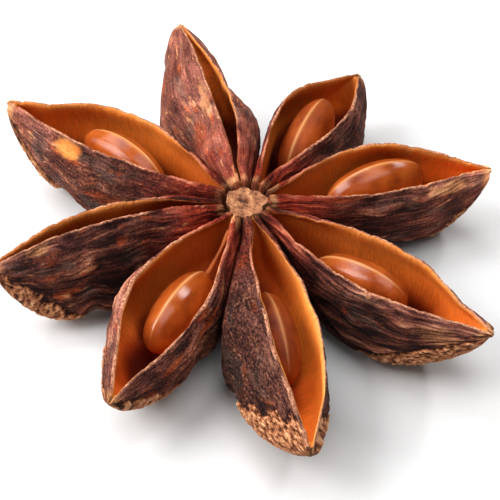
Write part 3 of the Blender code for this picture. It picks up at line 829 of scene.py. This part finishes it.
def husk_material():
    """Fibrous purple-brown outside, smooth orange-brown lining, pale worn rim, with painted shade in the grooves
    and low on the walls, and painted light and shade on the linings.
    """
    graph = Graph("husk_looks")
    crest, below, neck = graph.field("crest"), graph.field("below"), graph.field("neck")
    lining, edge, torn = graph.field("lining"), graph.field("edge"), graph.field("torn")

    streak = graph.noise(graph.grain((0.5, 7.0, 1.0)), 4.0, 0.6)
    speck = graph.noise(graph.grain((5.5, 7.0, 1.0)), 3.0, 0.7)
    height = graph.maths("MULTIPLY_ADD", graph.maths("SUBTRACT", streak, 0.5), 0.55, crest)
    grit = graph.maths("MULTIPLY_ADD", graph.field("grit"), 0.9, 0.5)
    height = graph.maths("MULTIPLY_ADD", graph.maths("SUBTRACT", speck, 0.5), grit, height)
    # Dark in the grooves as painted shade, pale on the crests.
    bark = graph.ramp(height,
                      (0.06, rgb(24, 11, 9)), (0.28, rgb(62, 30, 24)), (0.5, rgb(108, 58, 45)),
                      (0.7, rgb(166, 104, 78)), (0.92, rgb(228, 172, 136)))
    worn = graph.ramp(height, (0.1, rgb(96, 52, 30)), (0.45, rgb(196, 134, 88)), (0.9, rgb(244, 200, 152)))
    for name, share, low, high in (("grey", 0.6, rgb(36, 27, 25), rgb(132, 110, 98)),
                                   ("flush", 0.75, rgb(78, 34, 32), rgb(214, 138, 116)),
                                   ("rust", 0.8, rgb(84, 26, 12), rgb(220, 102, 48))):
        tint = graph.ramp(height, (0.15, low), (0.85, high))
        bark = graph.mix(graph.maths("MULTIPLY", graph.field(name), share), bark, tint)
    reddish = graph.ramp(height, (0.1, rgb(50, 10, 5)), (0.45, rgb(142, 37, 17)), (0.85, rgb(206, 90, 52)))
    bark = graph.mix(graph.maths("MULTIPLY", neck, 0.9), bark, reddish)
    bark = graph.mix(graph.maths("MULTIPLY", graph.field("tan"), 0.85), bark, worn)
    # Painted shade: low on the walls, at the lips' inner ends and in single spots.
    bark = graph.mix(graph.maths("MULTIPLY", graph.field("painted_shade"), 0.8), bark,
                     graph.mix(1.0, bark, rgb(150, 112, 108), "MULTIPLY"))
    # Each husk lighter or darker from core to tip: partly its own tone, partly painted light and shade.
    bark = graph.mix(1.0, bark, graph.grey(graph.field("tone_and_shade")), "MULTIPLY")
    tufts = graph.maths("MULTIPLY_ADD", graph.maths("SUBTRACT", speck, 0.5), 1.1, crest)
    flake = graph.ramp(tufts, (0.12, rgb(42, 20, 12)), (0.36, rgb(112, 62, 38)), (0.6, rgb(176, 112, 74)),
                       (0.95, rgb(230, 176, 130)))
    bark = graph.mix(torn, bark, flake)
    bark = graph.mix(graph.field("bald"), bark,
                     graph.ramp(height, (0.2, rgb(224, 126, 56)), (0.6, rgb(250, 170, 88))))
    bark = graph.mix(graph.span(speck, 0.7, 0.8), bark, rgb(196, 146, 112))

    cloud = graph.noise(graph.grain((0.5, 0.35, 1.0)), 3.0)
    depth = graph.maths("MULTIPLY_ADD", cloud, 0.16, graph.maths("ADD", below, -0.08))
    smooth = graph.ramp(depth,
                        (0.0, rgb(222, 138, 70)), (0.05, rgb(238, 138, 56)), (0.3, rgb(236, 120, 40)),
                        (0.6, rgb(200, 84, 28)))
    cross = graph.noise(graph.grain((7.0, 0.8, 1.0)), 4.0, 0.65)
    smooth = graph.mix(graph.span(cross, 0.3, 0.7), graph.mix(0.3, smooth, rgb(120, 44, 14)), smooth)
    smooth = graph.mix(graph.span(speck, 0.68, 0.8), smooth, rgb(240, 160, 90))
    smooth = graph.mix(graph.span(speck, 0.34, 0.26), smooth, rgb(110, 40, 14))
    smooth = graph.mix(graph.maths("MULTIPLY", neck, 0.25), smooth, rgb(190, 66, 26))
    # Painted light and shade on the lining.
    smooth = graph.mix(1.0, smooth, graph.grey(graph.field("lining_light_and_shade"), 1.3), "MULTIPLY")

    rim = graph.ramp(speck, (0.34, rgb(92, 50, 36)), (0.5, rgb(174, 114, 86)), (0.72, rgb(232, 182, 146)))
    rim = graph.mix(graph.maths("MULTIPLY", neck, 0.7), rim, rgb(176, 92, 68))
    colour = graph.mix(graph.span(lining, 0.55, 0.95), bark, smooth)
    colour = graph.mix(graph.span(edge, 0.2, 0.9), colour, rim)
    graph.feed(graph.shader.inputs["Base Color"], colour)
    graph.feed(graph.shader.inputs["Roughness"], graph.maths("MULTIPLY_ADD", lining, -0.25, 0.85))
    graph.shader.inputs["Specular IOR Level"].default_value = 0.12
    relief = graph.mix(lining, graph.mix(0.5, streak, speck), graph.mix(0.5, cross, speck))
    graph.feed(graph.shader.inputs["Normal"], graph.bump(relief, 0.00012))
    return graph.material


def seed_material(name, roughness, shine):
    """Polished amber coat with a pale line along its ridge, partly its own colour and partly a painted
    highlight, and each seed darkened by painted shade.
    """
    graph = Graph(name)
    cloud = graph.noise(graph.grain((0.6, 0.9, 0.7)), 3.0, 0.5)
    coat = graph.ramp(cloud, (0.25, rgb(124, 52, 18)), (0.5, rgb(166, 80, 28)), (0.75, rgb(192, 102, 38)))
    # The pale line along the ridge: partly its own colour, partly a painted highlight.
    coat = graph.mix(graph.maths("MULTIPLY", graph.field("ridge"), 0.7), coat, rgb(250, 190, 120))
    # Painted shade, darkest on the seeds that lie deepest in shadow.
    coat = graph.mix(1.0, coat, graph.grey(graph.field("tone_and_shade"), 1.4), "MULTIPLY")
    graph.feed(graph.shader.inputs["Base Color"], coat)
    graph.shader.inputs["Roughness"].default_value = roughness
    graph.shader.inputs["Specular IOR Level"].default_value = shine
    fine = graph.noise(graph.grain((6.0, 14.0, 14.0)), 2.0, 0.5)
    graph.feed(graph.shader.inputs["Normal"], graph.bump(fine, 0.000012))
    return graph.material


def core_material():
    """Dry tan fibre, dark in its pits."""
    graph = Graph("core_looks")
    speck = graph.noise(graph.grain((4.0, 4.0, 3.0)), 4.0, 0.65)
    height = graph.maths("MULTIPLY_ADD", graph.field("relief"), 0.27, speck)
    colour = graph.ramp(height, (0.05, rgb(58, 26, 14)), (0.32, rgb(116, 66, 38)), (0.6, rgb(158, 102, 64)),
                        (0.95, rgb(200, 150, 104)))
    graph.feed(graph.shader.inputs["Base Color"], colour)
    graph.shader.inputs["Roughness"].default_value = 0.85
    graph.feed(graph.shader.inputs["Normal"], graph.bump(speck, 0.0001))
    return graph.material


def plain_material(name, colour, roughness):
    material = bpy.data.materials.new(name)
    material.use_nodes = True
    material.node_tree.nodes["Principled BSDF"].inputs["Base Color"].default_value = colour
    material.node_tree.nodes["Principled BSDF"].inputs["Roughness"].default_value = roughness
    return material


# ---------------------------------------------------------------- floor, light and camera

CAMERA_ELEVATION = 48.36
CAMERA_DISTANCE = 94.64
CAMERA_TARGET = (0.29, -4.62, RIM_HEIGHT)
SENSOR = 36.0
SCALE_AT_TARGET = 15.31   # image points to a millimetre, in an image 500 across
IMAGE = 500


def make_floor():
    bpy.ops.mesh.primitive_plane_add(size=4)
    floor = bpy.context.object
    floor.name = "floor"
    floor.data.materials.append(plain_material("floor_white", (0.66, 0.66, 0.66, 1), 0.9))


def make_light(name, azimuth, elevation, distance, size, power, target=(0, 0, 5)):
    """A square soft light that faces the pod. Azimuth 0 is behind the camera, 90 to its right."""
    data = bpy.data.lights.new(name, "AREA")
    data.size = size * MM
    data.energy = power
    obj = bpy.data.objects.new(name, data)
    a, e = math.radians(azimuth), math.radians(elevation)
    away = Vector((math.sin(a) * math.cos(e), -math.cos(a) * math.cos(e), math.sin(e)))
    obj.location = (Vector(target) + away * distance) * MM
    obj.rotation_euler = away.to_track_quat("Z", "Y").to_euler()
    bpy.context.scene.collection.objects.link(obj)


def make_lights():
    world = bpy.data.worlds.new("studio")
    world.use_nodes = True
    world.node_tree.nodes["Background"].inputs["Color"].default_value = (1, 1, 1, 1)
    world.node_tree.nodes["Background"].inputs["Strength"].default_value = 0.02
    bpy.context.scene.world = world
    make_light("key", -80, 46, 200, 110, 0.46)
    make_light("low", -98, 24, 200, 80, 0.1)
    make_light("back", -140, 58, 200, 120, 0.27)
    make_light("right", 130, 46, 200, 32, 0.12)
    make_light("top", 50, 76, 200, 120, 0.19)
    make_light("front", 0, 42, 200, 110, 0.03)
    bpy.context.scene.view_settings.view_transform = "Standard"


def make_camera():
    data = bpy.data.cameras.new("camera")
    data.sensor_width = SENSOR
    data.lens = SENSOR * SCALE_AT_TARGET * CAMERA_DISTANCE / IMAGE
    data.clip_start, data.clip_end = 0.005, 20
    obj = bpy.data.objects.new("camera", data)
    elevation = math.radians(CAMERA_ELEVATION)
    away = Vector((0, -math.cos(elevation), math.sin(elevation)))
    obj.location = (Vector(CAMERA_TARGET) + away * CAMERA_DISTANCE) * MM + Vector(AXIS)
    obj.rotation_euler = away.to_track_quat("Z", "Y").to_euler()
    bpy.context.scene.collection.objects.link(obj)
    bpy.context.scene.camera = obj


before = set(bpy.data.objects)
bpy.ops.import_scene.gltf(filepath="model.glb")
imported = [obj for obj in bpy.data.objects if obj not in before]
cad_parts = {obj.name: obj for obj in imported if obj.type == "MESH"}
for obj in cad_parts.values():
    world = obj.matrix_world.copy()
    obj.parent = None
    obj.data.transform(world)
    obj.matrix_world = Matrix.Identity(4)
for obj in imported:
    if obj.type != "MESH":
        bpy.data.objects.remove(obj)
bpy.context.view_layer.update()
LOW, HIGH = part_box("columella")
AXIS = np.array(((LOW.x + HIGH.x) / 2, (LOW.y + HIGH.y) / 2, 0))

make_camera()
make_husks(husk_material())
dull_coat = seed_material("seed_dull_looks", 0.5, 0.12)
make_seeds(seed_material("seed_looks", 0.16, 0.3), dull_coat)
make_stalk(dull_coat)
make_core(core_material())
make_floor()
make_lights()
